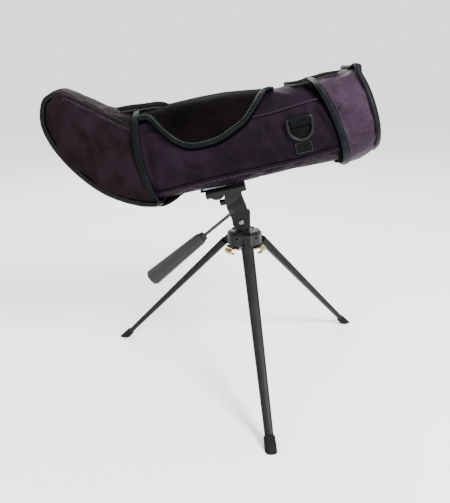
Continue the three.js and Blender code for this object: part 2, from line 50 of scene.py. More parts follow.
# ------------------------------------------------------------------ the two sets of axes
# Scope axes, in millimetres: u along the tube, y across it, v up from the platform.
RIVET_U, RIVET_V = 10.0, -43.7
U_DIR = -Vector(JOINTS["hood_slide"]["axis"]).normalized()
Y_DIR = Vector((0, 1, 0))
V_DIR = U_DIR.cross(Y_DIR)
SCOPE_ZERO = Vector(JOINTS["tilt"]["pos_m"]) - U_DIR * RIVET_U * MM - V_DIR * RIVET_V * MM
SCOPE_TURN = np.array([U_DIR, Y_DIR, V_DIR])
# Tripod axes, in millimetres: the pan axis is x = y = 0 and the floor is z = 0.
PAN = Vector((JOINTS["pan"]["pos_m"][0], JOINTS["pan"]["pos_m"][1], 0))


def from_scope(points):
    return np.asarray(points, float) * MM @ SCOPE_TURN + np.array(SCOPE_ZERO)


def from_tripod(points):
    return np.asarray(points, float) * MM + np.array(PAN)


def scope_axis(u, y, v):
    return tuple(np.array([u, y, v], float) @ SCOPE_TURN)


# ------------------------------------------------------------------ camera, floor and light
CAMERA_PLACE = (-23.0, -631.5, 346.9)
CAMERA_DOWN = math.radians(17.92)
CAMERA_ROLL = math.radians(-1.18)
CAMERA_LENS = 40.49
FLOOR_HALF = 6.0
WORLD_STRENGTH = 1.8


def make_camera():
    data = bpy.data.cameras.new("camera")
    data.lens = CAMERA_LENS
    data.sensor_width = 36
    data.clip_start = 0.01
    camera = bpy.data.objects.new("camera", data)
    SCENE.collection.objects.link(camera)
    turn = Matrix.Rotation(math.pi / 2 - CAMERA_DOWN, 4, "X") @ Matrix.Rotation(CAMERA_ROLL, 4, "Z")
    camera.matrix_world = Matrix.Translation(Vector(from_tripod(CAMERA_PLACE))) @ turn
    SCENE.camera = camera


def area_light(name, place, target, size, watts, color=(1, 1, 1)):
    data = bpy.data.lights.new(name, "AREA")
    data.shape = "DISK"
    data.size = size
    data.energy = watts
    data.color = color
    light = bpy.data.objects.new(name, data)
    SCENE.collection.objects.link(light)
    light.location = place
    light.rotation_euler = (Vector(target) - Vector(place)).to_track_quat("-Z", "Y").to_euler()


def make_studio():
    middle = (0, 0, 0.2)
    area_light("key", (0.75, -0.85, 1.15), middle, 0.5, 52, (1, 0.99, 0.97))
    area_light("fill", (-1.1, -0.9, 0.7), middle, 1.2, 7, (0.97, 0.98, 1))
    area_light("back", (-0.2, 1.2, 1.1), middle, 1.0, 14)
    world = bpy.data.worlds.new("studio")
    world.use_nodes = True
    background = world.node_tree.nodes["Background"]
    background.inputs["Color"].default_value = (1, 1, 1, 1)
    background.inputs["Strength"].default_value = WORLD_STRENGTH
    SCENE.world = world
    mesh = bpy.data.meshes.new("floor")
    corners = [(-FLOOR_HALF, -FLOOR_HALF, 0), (FLOOR_HALF, -FLOOR_HALF, 0), (FLOOR_HALF, FLOOR_HALF, 0),
               (-FLOOR_HALF, FLOOR_HALF, 0)]
    mesh.from_pydata(corners, [], [(0, 1, 2, 3)])
    floor = bpy.data.objects.new("floor", mesh)
    SCENE.collection.objects.link(floor)
    material = new_material("floor_paper")
    shader = shader_of(material)
    shader.inputs["Base Color"].default_value = (0.96, 0.96, 0.96, 1)
    shader.inputs["Roughness"].default_value = 0.8
    mesh.materials.append(material)


# ------------------------------------------------------------------ materials
def new_material(name):
    material = bpy.data.materials.new(name)
    material.use_nodes = True
    return material


def shader_of(material):
    return material.node_tree.nodes["Principled BSDF"]


class Nodes:
    """Short calls for making one material's node tree."""

    def __init__(self, material):
        self.tree = material.node_tree
        self.shader = shader_of(material)

    def new(self, kind, **values):
        node = self.tree.nodes.new(kind)
        for key, value in values.items():
            setattr(node, key, value)
        return node

    def link(self, source, target):
        self.tree.links.new(source, target)

    def put(self, socket, value):
        if isinstance(value, bpy.types.NodeSocket):
            self.link(value, socket)
        else:
            socket.default_value = value

    def position(self):
        return self.new("ShaderNodeTexCoord").outputs["Object"]

    def run(self):
        """The distance along a tape or strap, in metres."""
        return self.new("ShaderNodeAttribute", attribute_name="run").outputs["Fac"]

    def math(self, operation, a, b=0.0):
        node = self.new("ShaderNodeMath", operation=operation)
        for socket, value in zip(node.inputs, (a, b)):
            self.put(socket, value)
        return node.outputs[0]

    def dot(self, vector, axis):
        node = self.new("ShaderNodeVectorMath", operation="DOT_PRODUCT")
        self.link(vector, node.inputs[0])
        node.inputs[1].default_value = axis
        return node.outputs["Value"]

    def noise(self, vector, size, detail=3.0, rough=0.55):
        node = self.new("ShaderNodeTexNoise")
        self.link(vector, node.inputs["Vector"])
        node.inputs["Scale"].default_value = 1 / size
        node.inputs["Detail"].default_value = detail
        node.inputs["Roughness"].default_value = rough
        return node.outputs["Fac"]

    def ramp(self, value, *stops):
        node = self.new("ShaderNodeValToRGB")
        self.link(value, node.inputs["Fac"])
        elements = node.color_ramp.elements
        while len(elements) < len(stops):
            elements.new(0.5)
        for element, (place, color) in zip(elements, stops):
            element.position = place
            element.color = (*color, 1)
        return node.outputs["Color"]

    def mix(self, factor, a, b, blend="MIX"):
        node = self.new("ShaderNodeMix", data_type="RGBA", blend_type=blend)
        self.put(node.inputs["Factor"], factor)
        colors = [s for s in node.inputs if s.type == "RGBA"]
        for socket, value in zip(colors, (a, b)):
            self.put(socket, value if isinstance(value, bpy.types.NodeSocket) else (*value, 1))
        return [s for s in node.outputs if s.type == "RGBA"][0]

    def spread(self, value, low, high):
        node = self.new("ShaderNodeMapRange")
        self.link(value, node.inputs["Value"])
        node.inputs["To Min"].default_value = low
        node.inputs["To Max"].default_value = high
        return node.outputs["Result"]

    def bump(self, height, strength, depth):
        node = self.new("ShaderNodeBump")
        node.inputs["Strength"].default_value = strength
        node.inputs["Distance"].default_value = depth
        self.link(height, node.inputs["Height"])
        self.link(node.outputs["Normal"], self.shader.inputs["Normal"])


def woven(name, dark, light, thread, sheen, sheen_tint, rough, depth=0.00012, specular=0.5):
    """Plain-weave cloth: warp and weft threads, uneven dye and soft scuffs."""
    material = new_material(name)
    n = Nodes(material)
    place = n.position()
    along = n.dot(place, scope_axis(1, 0, 0))
    round_it = n.math("ADD", n.dot(place, scope_axis(0, 1, 0)), n.dot(place, scope_axis(0, 0, 1)))
    turn = 2 * math.pi / thread
    wobble = n.math("MULTIPLY", n.noise(place, 0.004, 1.0), 2.2)
    warp = n.math("SINE", n.math("ADD", n.math("MULTIPLY", along, turn), wobble))
    weft = n.math("SINE", n.math("ADD", n.math("MULTIPLY", round_it, turn), wobble))
    weave = n.math("MULTIPLY", warp, weft)
    cloud = n.noise(place, 0.035, 4.0)
    fleck = n.noise(place, 0.0022, 3.0, 0.75)
    base = n.ramp(cloud, (0.36, dark), (0.66, light))
    threads = n.spread(weave, 0.6, 1.35)
    tone = n.mix(n.ramp(fleck, (0.42, (0, 0, 0)), (0.74, (1, 1, 1))), base, light)
    color = n.mix(1.0, tone, threads, "MULTIPLY")
    n.link(color, n.shader.inputs["Base Color"])
    n.link(n.spread(n.noise(place, 0.012, 3.0), rough - 0.09, rough + 0.12), n.shader.inputs["Roughness"])
    n.shader.inputs["Sheen Weight"].default_value = sheen
    n.shader.inputs["Sheen Roughness"].default_value = 0.35
    n.shader.inputs["Sheen Tint"].default_value = (*sheen_tint, 1)
    n.shader.inputs["Specular IOR Level"].default_value = specular
    height = n.math("ADD", weave, n.math("MULTIPLY", fleck, 1.2))
    n.bump(height, 0.7, depth)
    return material


def tape(name, dark, light, rib, rough, highlight=0.02, specular=0.2):
    """Folded binding tape or webbing: ribs across its length."""
    material = new_material(name)
    n = Nodes(material)
    place = n.position()
    ribs = n.math("SINE", n.math("MULTIPLY", n.run(), 2 * math.pi / rib))
    cloud = n.noise(place, 0.01, 4.0)
    base = n.ramp(cloud, (0.3, dark), (0.75, light))
    n.link(base, n.shader.inputs["Base Color"])
    n.link(n.spread(n.noise(place, 0.004, 2.0), rough - 0.08, rough + 0.12), n.shader.inputs["Roughness"])
    n.shader.inputs["Specular IOR Level"].default_value = specular
    n.shader.inputs["Sheen Weight"].default_value = highlight
    n.shader.inputs["Sheen Roughness"].default_value = 0.3
    n.shader.inputs["Sheen Tint"].default_value = (0.75, 0.8, 0.85, 1)
    n.bump(n.math("ADD", ribs, n.noise(place, 0.0012, 2.0)), 0.5, 0.00015)
    return material


def hard(name, dark, light, rough, metal, grain, depth, coat=0.0, wear=None, specular=0.5):
    """Paint, moulded plastic, rubber or metal with a fine grain and edges that have worn."""
    material = new_material(name)
    n = Nodes(material)
    place = n.position()
    base = n.ramp(n.noise(place, 0.012, 5.0), (0.3, dark), (0.75, light))
    if wear:
        edge = n.new("ShaderNodeNewGeometry").outputs["Pointiness"]
        rubbed = n.math("MULTIPLY", n.math("SUBTRACT", edge, 0.53), 9.0)
        patchy = n.math("MULTIPLY", rubbed, n.noise(place, 0.003, 3.0))
        patchy = n.math("MINIMUM", n.math("MAXIMUM", patchy, 0.0), 0.8)
        base = n.mix(patchy, base, wear)
    n.link(base, n.shader.inputs["Base Color"])
    n.link(n.spread(n.noise(place, 0.005, 4.0), rough - 0.08, rough + 0.1), n.shader.inputs["Roughness"])
    n.shader.inputs["Metallic"].default_value = metal
    n.shader.inputs["Coat Weight"].default_value = coat
    n.shader.inputs["Coat Roughness"].default_value = 0.25
    n.shader.inputs["Specular IOR Level"].default_value = specular
    n.bump(n.noise(place, grain, 2.0, 0.6), 0.5, depth)
    return material


def brushed(name, dark, light, rough, scratch_axis):
    """Bright metal with fine scratches along one direction."""
    material = new_material(name)
    n = Nodes(material)
    place = n.position()
    stretch = n.new("ShaderNodeMapping")
    n.link(place, stretch.inputs["Vector"])
    stretch.inputs["Scale"].default_value = scratch_axis
    lines = n.noise(stretch.outputs["Vector"], 0.0008, 3.0)
    n.link(n.ramp(lines, (0.3, dark), (0.7, light)), n.shader.inputs["Base Color"])
    n.link(n.spread(lines, rough - 0.07, rough + 0.12), n.shader.inputs["Roughness"])
    n.shader.inputs["Metallic"].default_value = 1.0
    n.bump(lines, 0.3, 0.00004)
    return material


def glass(name):
    material = new_material(name)
    n = Nodes(material)
    place = n.position()
    n.link(n.ramp(n.noise(place, 0.02, 2.0), (0.3, (0.55, 0.68, 0.74)), (0.7, (0.72, 0.8, 0.86))),
           n.shader.inputs["Base Color"])
    n.shader.inputs["Roughness"].default_value = 0.04
    n.shader.inputs["Transmission Weight"].default_value = 0.9
    n.shader.inputs["IOR"].default_value = 1.52
    n.shader.inputs["Coat Weight"].default_value = 0.6
    n.shader.inputs["Coat Tint"].default_value = (0.55, 0.7, 0.95, 1)
    return material


MATERIALS = {}


def make_materials():
    m = MATERIALS
    m["plum"] = woven("plum_nylon", (0.0026, 0.0012, 0.0028), (0.0110, 0.0052, 0.0114), 0.0012, 0.004,
                      (0.8, 0.5, 0.9), 0.5, specular=0.035)
    m["hood"] = woven("plum_nylon_hood", (0.0034, 0.0019, 0.0029), (0.0125, 0.0074, 0.0105), 0.0012, 0.0,
                      (0.9, 0.6, 0.75), 0.55, specular=0.015)
    # the front cover is the same plum nylon as the sleeve; its three to four times lighter, more lilac colour
    # is painted highlight for the light falling on the cover
    m["cover"] = woven("plum_nylon_painted_highlight", (0.008, 0.0035, 0.0084), (0.042, 0.021, 0.0415), 0.0013, 0.01,
                       (0.95, 0.65, 1.0), 0.42, specular=0.07)
    m["seam"] = woven("plum_seam", (0.003, 0.0012, 0.0034), (0.012, 0.0055, 0.0125), 0.0011, 0.0,
                      (0.9, 0.8, 1.0), 0.5, specular=0.1)
    m["flap"] = woven("black_nap", (0.0006, 0.0004, 0.0007), (0.0034, 0.0022, 0.0032), 0.0018, 0.0,
                      (0.7, 0.6, 0.75), 0.8, 0.0001, 0.015)
    # near-black cloth used only for painted shadow strips: in the groove inside the hood piping, behind the
    # front cover's rim and under the flap's edge
    m["painted_shadow"] = woven("black_painted_shadow", (0.0002, 0.0002, 0.0002), (0.0006, 0.0006, 0.0007), 0.0014, 0.0,
                        (0.6, 0.6, 0.65), 0.85, 0.0001, 0.02)
    m["binding"] = tape("binding_tape", (0.0010, 0.0018, 0.0019), (0.0034, 0.0048, 0.0050), 0.0012, 0.40, 0.0,
                        0.045)
    m["binding_dark"] = tape("binding_tape_dark", (0.0008, 0.0012, 0.0006), (0.0026, 0.0032, 0.0020), 0.0012,
                             0.44, 0.005, 0.08)
    # the same binding tape painted about one and a half times lighter for the front cover's rims: painted
    # highlight
    m["binding_painted_highlight"] = tape("binding_tape_painted_highlight", (0.0014, 0.0020, 0.0026), (0.0050, 0.0064, 0.0078),
                               0.0012, 0.34, 0.0, 0.06)
    m["webbing"] = tape("webbing", (0.0003, 0.0006, 0.0008), (0.0012, 0.0018, 0.0020), 0.0018, 0.55, 0.004,
                        0.06)
    m["thread_light"] = tape("thread_lilac", (0.022, 0.014, 0.021), (0.060, 0.042, 0.058), 0.0005, 0.6, 0.02,
                             0.1)
    m["thread_dark"] = tape("thread_dark", (0.016, 0.018, 0.018), (0.042, 0.046, 0.047), 0.0005, 0.6, 0.01,
                            0.1)
    m["velcro"] = hard("velcro_loop", (0.0003, 0.0003, 0.0005), (0.0016, 0.0014, 0.0018), 0.9, 0, 0.0012,
                       0.0008, specular=0.03)
    m["paint"] = hard("black_paint", (0.0022, 0.0030, 0.0027), (0.0058, 0.0070, 0.0066), 0.40, 0.05, 0.0006,
                      0.00005, 0.02, (0.035, 0.038, 0.038), specular=0.14)
    m["leg"] = hard("leg_paint", (0.0032, 0.0040, 0.0036), (0.0085, 0.0092, 0.0087), 0.46, 0.05, 0.0005,
                    0.00004, 0.02, (0.030, 0.031, 0.031), specular=0.08)
    m["scope"] = hard("scope_paint", (0.0030, 0.0036, 0.0042), (0.008, 0.009, 0.010), 0.45, 0.05, 0.0009,
                      0.00012, 0.03, specular=0.2)
    m["plastic"] = hard("black_plastic", (0.0008, 0.0014, 0.0017), (0.0028, 0.0038, 0.0042), 0.36, 0, 0.0005,
                        0.00003, 0.0, (0.020, 0.024, 0.024), specular=0.2)
    m["grip"] = hard("grip_plastic", (0.0036, 0.0038, 0.0033), (0.0078, 0.0080, 0.0072), 0.36, 0, 0.0005,
                     0.00003, 0.02, (0.035, 0.036, 0.034), specular=0.25)
    m["rubber"] = hard("rubber", (0.0018, 0.0018, 0.0019), (0.0048, 0.0048, 0.0048), 0.72, 0, 0.0008, 0.00006,
                       specular=0.12)
    m["steel"] = brushed("steel", (0.03, 0.03, 0.03), (0.20, 0.20, 0.19), 0.22, (0.1, 1, 1))
    m["brass"] = brushed("brass", (0.16, 0.11, 0.04), (0.48, 0.38, 0.2), 0.26, (1, 1, 0.2))
    m["alloy"] = brushed("alloy", (0.3, 0.31, 0.32), (0.5, 0.51, 0.53), 0.35, (1, 0.2, 1))
    m["rod"] = brushed("rod_steel", (0.012, 0.012, 0.012), (0.075, 0.075, 0.072), 0.18, (0.1, 1, 1))
    m["glass"] = glass("coated_glass")


# ------------------------------------------------------------------ mesh helpers
def build(name, points, faces, material, body, run=None):
    """A mesh piece from points in the scope's axes, in millimetres, riding on a body."""
    mesh = bpy.data.meshes.new(name)
    mesh.from_pydata([tuple(p) for p in from_scope(points)], [], [tuple(int(i) for i in f) for f in faces])
    mesh.validate()
    mesh.shade_smooth()
    if run is not None:
        attribute = mesh.attributes.new("run", "FLOAT", "POINT")
        attribute.data.foreach_set("value", np.asarray(run, np.float32) * MM)
    obj = bpy.data.objects.new(name, mesh)
    SCENE.collection.objects.link(obj)
    mesh.materials.append(MATERIALS[material])
    fix_normals(obj)
    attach(obj, body)
    return obj


def fix_normals(obj):
    work = bmesh.new()
    work.from_mesh(obj.data)
    bmesh.ops.recalc_face_normals(work, faces=work.faces)
    work.to_mesh(obj.data)
    work.free()


def grid_faces(rows, columns, close_rows=False, close_columns=False, first=0):
    faces = []
    for i in range(rows if close_rows else rows - 1):
        for j in range(columns if close_columns else columns - 1):
            a = i * columns + j
            b = i * columns + (j + 1) % columns
            c = ((i + 1) % rows) * columns + (j + 1) % columns
            d = ((i + 1) % rows) * columns + j
            faces.append((first + a, first + b, first + c, first + d))
    return faces


def add_modifier(obj, kind, **values):
    modifier = obj.modifiers.new(kind.lower(), kind)
    for key, value in values.items():
        setattr(modifier, key, value)
    return modifier


def subdivide(obj, levels):
    return add_modifier(obj, "SUBSURF", levels=levels, render_levels=levels)


def thicken(obj, thickness, offset=-1.0):
    return add_modifier(obj, "SOLIDIFY", thickness=thickness * MM, offset=offset, use_even_offset=False)


def smooth_line(points, count, closed=False):
    """A Catmull-Rom curve through points, resampled to even steps."""
    p = np.asarray(points, float)
    if closed:
        ring = np.vstack([p[-1], p, p[0], p[1]])
    else:
        ring = np.vstack([2 * p[0] - p[1], p, 2 * p[-1] - p[-2]])
    fine = []
    for i in range(1, len(ring) - 2):
        a, b, c, d = ring[i - 1:i + 3]
        for t in np.linspace(0, 1, 12, endpoint=False):
            fine.append(0.5 * ((2 * b) + (c - a) * t + (2 * a - 5 * b + 4 * c - d) * t * t
                               + (3 * b - a - 3 * c + d) * t ** 3))
    fine.append(ring[-2])
    fine = np.array(fine)
    length = np.concatenate([[0], np.cumsum(np.linalg.norm(np.diff(fine, axis=0), axis=1))])
    want = np.linspace(0, length[-1], count, endpoint=not closed)
    return np.stack([np.interp(want, length, fine[:, k]) for k in range(p.shape[1])], 1)


def tangents(path, closed):
    if closed:
        step = np.roll(path, -1, 0) - np.roll(path, 1, 0)
    else:
        step = np.gradient(path, axis=0)
    return step / np.linalg.norm(step, axis=1, keepdims=True)


def unit(vectors):
    return vectors / np.maximum(np.linalg.norm(vectors, axis=-1, keepdims=True), 1e-9)


def sweep(name, path, normals, width, thickness, material, body, closed=False, round_ends=0.0,
          power=3.0, count=16):
    """A tape, ridge or ring: a rounded section carried along a path, flat side to its normals."""
    path = np.asarray(path, float)
    normals = unit(np.asarray(normals, float))
    along = tangents(path, closed)
    across = unit(np.cross(along, normals))
    up = unit(np.cross(across, along))
    run = np.concatenate([[0], np.cumsum(np.linalg.norm(np.diff(path, axis=0), axis=1))])
    wide = np.broadcast_to(np.asarray(width, float), (len(path),)) / 2
    thick = np.broadcast_to(np.asarray(thickness, float), (len(path),)) / 2
    shape = np.ones(len(path))
    if round_ends:
        for distance in (run, run[-1] - run):
            inside = np.clip(distance / round_ends, 0, 1)
            shape = np.minimum(shape, np.sqrt(1 - (1 - inside) ** 2))
        shape = np.maximum(shape, 0.05)
    angle = np.linspace(0, 2 * np.pi, count, endpoint=False)
    px = np.sign(np.cos(angle)) * np.abs(np.cos(angle)) ** (2 / power)
    pz = np.sign(np.sin(angle)) * np.abs(np.sin(angle)) ** (2 / power)
    points = (path[:, None, :] + across[:, None, :] * (px[None, :, None] * (wide * shape)[:, None, None])
              + up[:, None, :] * (pz[None, :, None] * (thick * np.maximum(shape, 0.5))[:, None, None]))
    faces = grid_faces(len(path), count, close_rows=closed, close_columns=True)
    if not closed:
        faces.append(tuple(range(count)))
        faces.append(tuple(range((len(path) - 1) * count, len(path) * count)))
    return build(name, points.reshape(-1, 3), faces, material, body, np.repeat(run, count))


def stitches(name, path, normals, material, body, pitch=3.4, length=2.3, radius=0.33, lift=0.15):
    """A row of separate stitches lying on a seam."""
    path = np.asarray(path, float)
    normals = unit(np.asarray(normals, float))
    run = np.concatenate([[0], np.cumsum(np.linalg.norm(np.diff(path, axis=0), axis=1))])
    points, faces, runs = [], [], []
    sides = 6
    stations = [(-0.5, 0.35, -0.5), (-0.3, 1.0, 0.2), (0.0, 1.1, 0.45), (0.3, 1.0, 0.2), (0.5, 0.35, -0.5)]
    for start in np.arange(pitch / 2, run[-1], pitch):
        here = np.array([np.interp(start, run, path[:, k]) for k in range(3)])
        ahead = np.array([np.interp(min(start + 0.5, run[-1]), run, path[:, k]) for k in range(3)])
        behind = np.array([np.interp(max(start - 0.5, 0), run, path[:, k]) for k in range(3)])
        up = unit(np.array([np.interp(start, run, normals[:, k]) for k in range(3)]))
        along = unit(ahead - behind)
        across = np.cross(along, up)
        first = len(points)
        for t, size, rise in stations:
            for k in range(sides):
                a = 2 * math.pi * k / sides
                points.append(here + along * t * length + up * (lift + rise * radius)
                              + (across * math.cos(a) + up * math.sin(a)) * radius * size)
                runs.append(start)
        faces += grid_faces(len(stations), sides, close_columns=True, first=first)
        faces.append(tuple(first + k for k in range(sides)))
        faces.append(tuple(first + (len(stations) - 1) * sides + k for k in range(sides)))
    return build(name, points, faces, material, body, runs)


# ------------------------------------------------------------------ the case's section
CASE_HALF = 46.0
CASE_POWER, LOW_POWER = 3.6, 2.6
# u, low and high of the case
STATIONS = np.array([[-84, 3.6, 97.1], [-73, 3.8, 97.2], [-28, 3.8, 97.4], [0, 2.4, 96.8], [25, 2.4, 95.4],
                     [42, 2.6, 93.2], [58, 3.2, 90.6], [78, 3.0, 88.4], [110, 2.2, 88.6], [136, 0.8, 88.8],
                     [150, 0.6, 89.0], [160, 0.6, 89.0]])


RING_STEPS = 1440
HEIGHT_TO_WIDTH = 1.03


def superellipse():
    """(y, v) round a unit section from the far side over the top, and the share of its length there."""
    a = np.linspace(0, 2 * np.pi, RING_STEPS + 1)
    shape = 2 / np.where(np.sin(a) < 0, LOW_POWER, CASE_POWER)
    y = np.sign(np.cos(a)) * np.abs(np.cos(a)) ** shape
    v = np.sign(np.sin(a)) * np.abs(np.sin(a)) ** shape
    length = np.concatenate([[0], np.cumsum(np.hypot(np.diff(y), np.diff(v * HEIGHT_TO_WIDTH)))])
    return y, v, length / length[-1]


RING_Y, RING_V, RING_T = superellipse()
NEAR = (RING_Y <= 1e-9) & (RING_T > 0.1)
TOP_T = float(RING_T[np.argmax(RING_V)])


def ring(t):
    t = np.mod(t, 1.0)
    return np.interp(t, RING_T, RING_Y), np.interp(t, RING_T, RING_V)


def near_t(height):
    """Where on the near side the unit section has this height."""
    return np.interp(-np.asarray(height, float), -RING_V[NEAR], RING_T[NEAR])


def far_t(height):
    return 2 * TOP_T - near_t(height)


def case_levels(u):
    low = np.interp(u, STATIONS[:, 0], STATIONS[:, 1])
    high = np.interp(u, STATIONS[:, 0], STATIONS[:, 2])
    return (low + high) / 2, (high - low) / 2


def case_point(u, t, out=0.0):
    """A point on the case's skin, pushed out by some millimetres."""
    u, t = np.broadcast_arrays(np.asarray(u, float), np.asarray(t, float))
    y, v = ring(t)
    middle, half = case_levels(u)
    return np.stack([u, y * (CASE_HALF + out), middle + v * (half + out)], -1)


def case_normal(t):
    y, v = ring(t)
    power = np.where(v < 0, LOW_POWER, CASE_POWER) - 1
    out = np.stack([np.zeros_like(y), np.sign(y) * np.abs(y) ** power, np.sign(v) * np.abs(v) ** power], -1)
    return unit(out)


def side_height(u, v):
    """The unit height of a place v on the case at u."""
    middle, half = case_levels(u)
    return (v - middle) / half


def fold(points, start, end, width, depth):
    """A crease between two places given as (u, v): how far each point moves out or in there."""
    a, b = np.array(start, float), np.array(end, float)
    p = points[..., [0, 2]]
    t = np.clip(((p - a) @ (b - a)) / ((b - a) @ (b - a)), 0, 1)
    away = np.linalg.norm(p - (a + t[..., None] * (b - a)), axis=-1)
    ends = np.sin(np.pi * np.clip(t * 0.9 + 0.05, 0, 1)) ** 0.6
    return depth * ends * (np.exp(-(away / width) ** 2) - 0.45 * np.exp(-((away - 2 * width) / width) ** 2))


def uneven(points, size, seed):
    """Soft unevenness of stuffed cloth, from -1 to 1."""
    return np.array([noise.noise(Vector(p / size) + Vector((seed, 0, 0))) for p in points.reshape(-1, 3)]
                    ).reshape(points.shape[:-1])


# ------------------------------------------------------------------ cloth
CLOTH_PRESSURE = 4.0
CLOTH_FRAMES = 20
CLOTH_SLACK = 0.015
SLIDE_LIMIT = 2.0


def puff(obj, pinned, out, back):
    """Blows a cloth piece up between its pinned seams and applies the result, within limits in mm."""
    group = obj.vertex_groups.new(name="pinned")
    group.add([int(i) for i in pinned], 1.0, "REPLACE")
    cloth = obj.modifiers.new("cloth", "CLOTH")
    settings = cloth.settings
    settings.quality = 6
    settings.mass = 0.15
    settings.tension_stiffness = 12
    settings.compression_stiffness = 12
    settings.shear_stiffness = 6
    settings.bending_stiffness = 0.35
    settings.use_pressure = True
    settings.uniform_pressure_force = CLOTH_PRESSURE
    settings.vertex_group_mass = "pinned"
    settings.shrink_min = -CLOTH_SLACK
    settings.effector_weights.gravity = 0
    cloth.collision_settings.use_collision = False
    cloth.point_cache.frame_start = 1
    cloth.point_cache.frame_end = CLOTH_FRAMES
    count = len(obj.data.vertices)
    rest = np.zeros(count * 3)
    obj.data.vertices.foreach_get("co", rest)
    normals = np.zeros(count * 3)
    obj.data.vertices.foreach_get("normal", normals)
    for step in range(1, CLOTH_FRAMES + 1):
        SCENE.frame_set(step)
    blown = obj.evaluated_get(bpy.context.evaluated_depsgraph_get()).to_mesh()
    moved = np.zeros(count * 3)
    blown.vertices.foreach_get("co", moved)
    obj.modifiers.remove(cloth)
    SCENE.frame_set(1)
    rest, normals, moved = (a.reshape(-1, 3) for a in (rest, normals, moved))
    shift = moved - rest
    outward = (shift * normals).sum(1)
    slide = shift - normals * outward[:, None]
    slide *= np.minimum(1, SLIDE_LIMIT * MM / np.maximum(np.linalg.norm(slide, axis=1), 1e-9))[:, None]
    limit = np.where(outward > 0, out, back)
    limited = limit * np.tanh(outward / (limit * MM))
    final = rest + slide + normals * (limited * MM)[:, None]
    obj.data.vertices.foreach_set("co", final.ravel())
    obj.data.update()
    print(f"puff {obj.name}: moved up to {np.abs(limited).max():.2f} mm")


# ------------------------------------------------------------------ sleeve
LOW_SEAM = [(-84, 15.8), (-71, 16.3), (0, 18.3), (80, 17.8), (160, 24)]
HIGH_SEAM = [(-84, 74), (40, 71), (69, 70.8), (90, 72.2), (160, 76)]


def seam_t(u, seam, far=False):
    v = np.interp(u, [s[0] for s in seam], [s[1] for s in seam])
    height = side_height(u, v)
    return np.mod(far_t(height), 1.0) if far else near_t(height)


def sleeve_rows(u):
    """Places round the sleeve at one u, with a row on each of the four seams."""
    marks = [seam_t(u, HIGH_SEAM, True), seam_t(u, HIGH_SEAM), seam_t(u, LOW_SEAM),
             seam_t(u, LOW_SEAM, True)]
    counts = [22, 13, 20, 13]
    rows = []
    for k, count in enumerate(counts):
        start, end = marks[k], marks[(k + 1) % 4]
        if end < start:
            end += 1
        rows.append(start + (end - start) * np.arange(count) / count)
    seams = np.cumsum([0] + counts[:-1])
    return np.concatenate(rows), seams


# creases: two ends as (u, v), half width and depth
NEAR_FOLDS = [((-66, 80), (-68, 30), 2.4, -1.6), ((-73, 84), (-48, 82), 2.2, -2.6),
              ((22, 40), (36, 20), 1.6, 1.0), ((34, 34), (30, 18), 1.2, -0.9), ((-32, 53), (-24, 40), 1.8, 1.1),
              ((-40, 46), (-20, 24), 3.0, -0.8), ((58, 44), (70, 22), 2.6, -0.9),
              ((108, 66), (122, 30), 3.2, -1.6), ((100, 70), (116, 64), 2.2, 0.9),
              ((-10, 30), (20, 24), 2.6, -0.7), ((64, 30), (84, 22), 2.2, 0.9)]
FAR_FOLDS = [((-60, 80), (-52, 40), 2.6, -1.4), ((-20, 60), (10, 30), 3.0, -1.0),
             ((50, 70), (40, 40), 2.4, 1.0), ((100, 60), (118, 30), 3.0, -1.3)]


def make_sleeve():
    us = np.linspace(-80, 150, 58)
    points = np.array([case_point(u, sleeve_rows(u)[0]) for u in us])
    rows = points.shape[1]
    t_mid, seams = sleeve_rows(20.0)
    normals = case_normal(t_mid)[None, :, :]
    side = np.sign(points[..., 1]) * (np.abs(points[..., 1]) > CASE_HALF * 0.8)
    push = 0.9 * uneven(points, 26.0, 3.0) + 0.45 * uneven(points, 11.0, 9.0)
    for folds, which in ((NEAR_FOLDS, -1), (FAR_FOLDS, 1)):
        for start, end, width, depth in folds:
            push += 1.7 * fold(points, start, end, width, depth) * (side == which)
    push[:, seams] = -0.9
    bottom = (t_mid > 0.66) & (t_mid < 0.84)
    push[np.ix_(us < 40, bottom)] *= 0.2
    points = points + normals * push[..., None]
    sleeve = build("case_sleeve_cloth", points.reshape(-1, 3), grid_faces(len(us), rows, close_columns=True),
                   "plum", "scope_and_platform")
    index = np.arange(len(us) * rows).reshape(len(us), rows)
    pinned = set(index[:, seams].ravel()) | set(index[[0, 1, -2, -1]].ravel())
    pinned |= set(index[:, bottom].ravel())
    puff(sleeve, sorted(pinned), out=2.6, back=1.4)
    open_foot_hole(sleeve)
    thicken(sleeve, 2.6)
    subdivide(sleeve, 2)
    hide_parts("case_sleeve")
    make_sleeve_trim()


FOOT_HOLE = (-25.0, 5.0, 11.0)


def open_foot_hole(sleeve):
    """The sleeve is cut away under the scope so that its foot reaches the platform."""
    u0, u1, half = FOOT_HOLE
    work = bmesh.new()
    work.from_mesh(sleeve.data)
    turn = Matrix([U_DIR, Y_DIR, V_DIR])
    doomed = []
    for face in work.faces:
        u, y, v = (turn @ (face.calc_center_median() - SCOPE_ZERO)) / MM
        if u0 < u < u1 and abs(y) < half and v < 20:
            doomed.append(face)
    bmesh.ops.delete(work, geom=doomed, context="FACES")
    work.to_mesh(sleeve.data)
    work.free()


def along_case(start, end, seam, out, far):
    """A seam line on the case between two places u, with the skin's normals along it."""
    u = np.linspace(start, end, 60)
    t = seam_t(u, seam, far)
    return case_point(u, t, out), case_normal(t)


